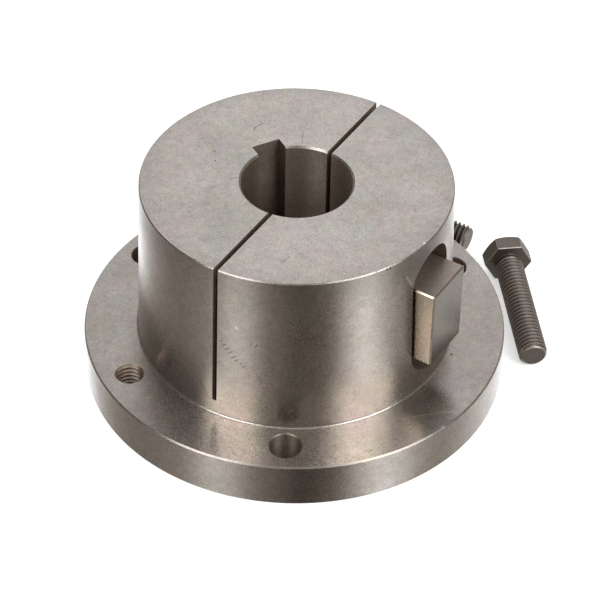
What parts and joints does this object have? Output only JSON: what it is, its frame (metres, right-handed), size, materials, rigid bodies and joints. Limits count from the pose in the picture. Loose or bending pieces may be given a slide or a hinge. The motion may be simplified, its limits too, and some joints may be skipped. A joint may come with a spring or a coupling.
{
  "type": "quick disconnect bushing",
  "caption": "Flanged split taper bushing with a keyed bore, a flat outside key in its seat and hex cap screws lying beside the flange.",
  "frame": {"origin": "on the bore's axis, at the flange's back face", "axes": "+Z along the bore from the flange to the small end of the barrel; +Y towards the bore's keyway; +X towards a clear hole of the flange"},
  "size_m": [0.1607, 0.172, 0.073],
  "materials": {
    "bushing_steel": "turned, fine machining marks",
    "key_steel": "bright drawn bar, fine lengthwise grain",
    "screw_steel": "dark plain steel, slightly oily"
  },
  "bodies": {
    "root": {"tapered_bushing": "bushing_steel", "outside_key": "key_steel", "cap_screw_1": "screw_steel", "cap_screw_2": "screw_steel", "cap_screw_3": "screw_steel"}
  },
  "joints": []
}
